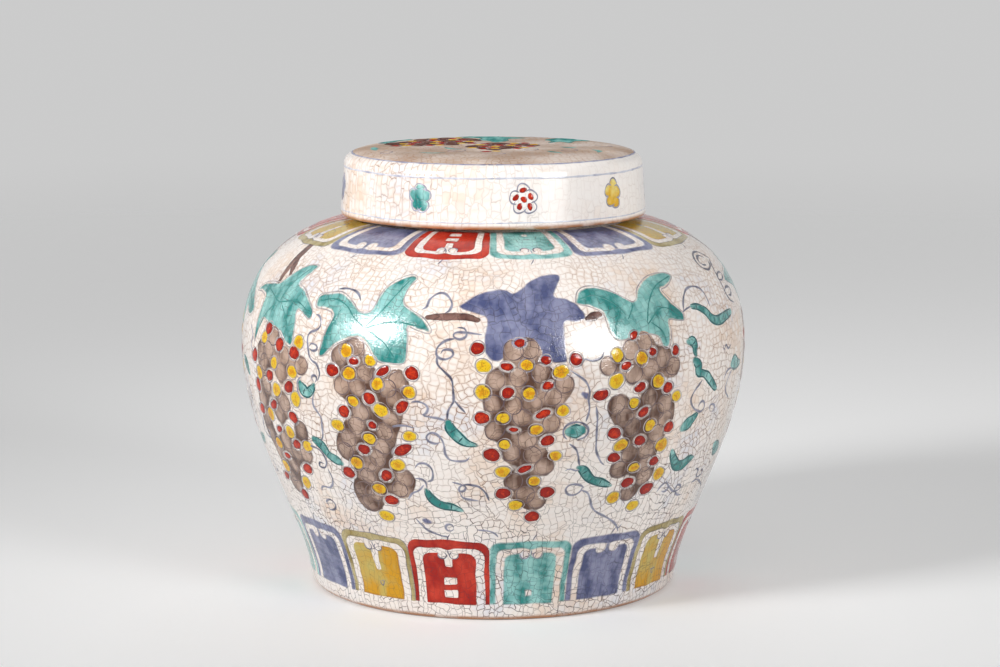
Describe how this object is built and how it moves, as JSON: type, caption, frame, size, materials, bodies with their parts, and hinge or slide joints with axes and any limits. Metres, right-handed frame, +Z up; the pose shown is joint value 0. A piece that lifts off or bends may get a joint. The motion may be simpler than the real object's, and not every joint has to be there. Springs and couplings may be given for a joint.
{
  "type": "lidded jar",
  "caption": "Round-bellied porcelain jar on a foot ring, with a short neck under a flat cap lid that lifts off; crackled glaze with painted vine and panel borders.",
  "frame": {"origin": "centre of the foot ring, on the surface that the jar stands on", "axes": "+Z up along the axis of turning; -Y is the side with the blue vine leaf, which faces the viewer"},
  "size_m": [0.17, 0.17, 0.1477],
  "materials": {
    "crackle_glaze": "gloss",
    "cobalt_line": "gloss",
    "green_enamel": "gloss",
    "violet_enamel": "gloss",
    "aubergine_enamel": "gloss",
    "yellow_enamel": "gloss",
    "red_enamel": "gloss"
  },
  "bodies": {
    "jar": {"jar": "crackle_glaze"},
    "lid": {"lid": "crackle_glaze"}
  },
  "joints": [
    {"name": "lid_lift", "type": "slide", "parent": "jar", "child": "lid", "axis": [0, 0, 1], "range_m": [0, 0.12]}
  ]
}
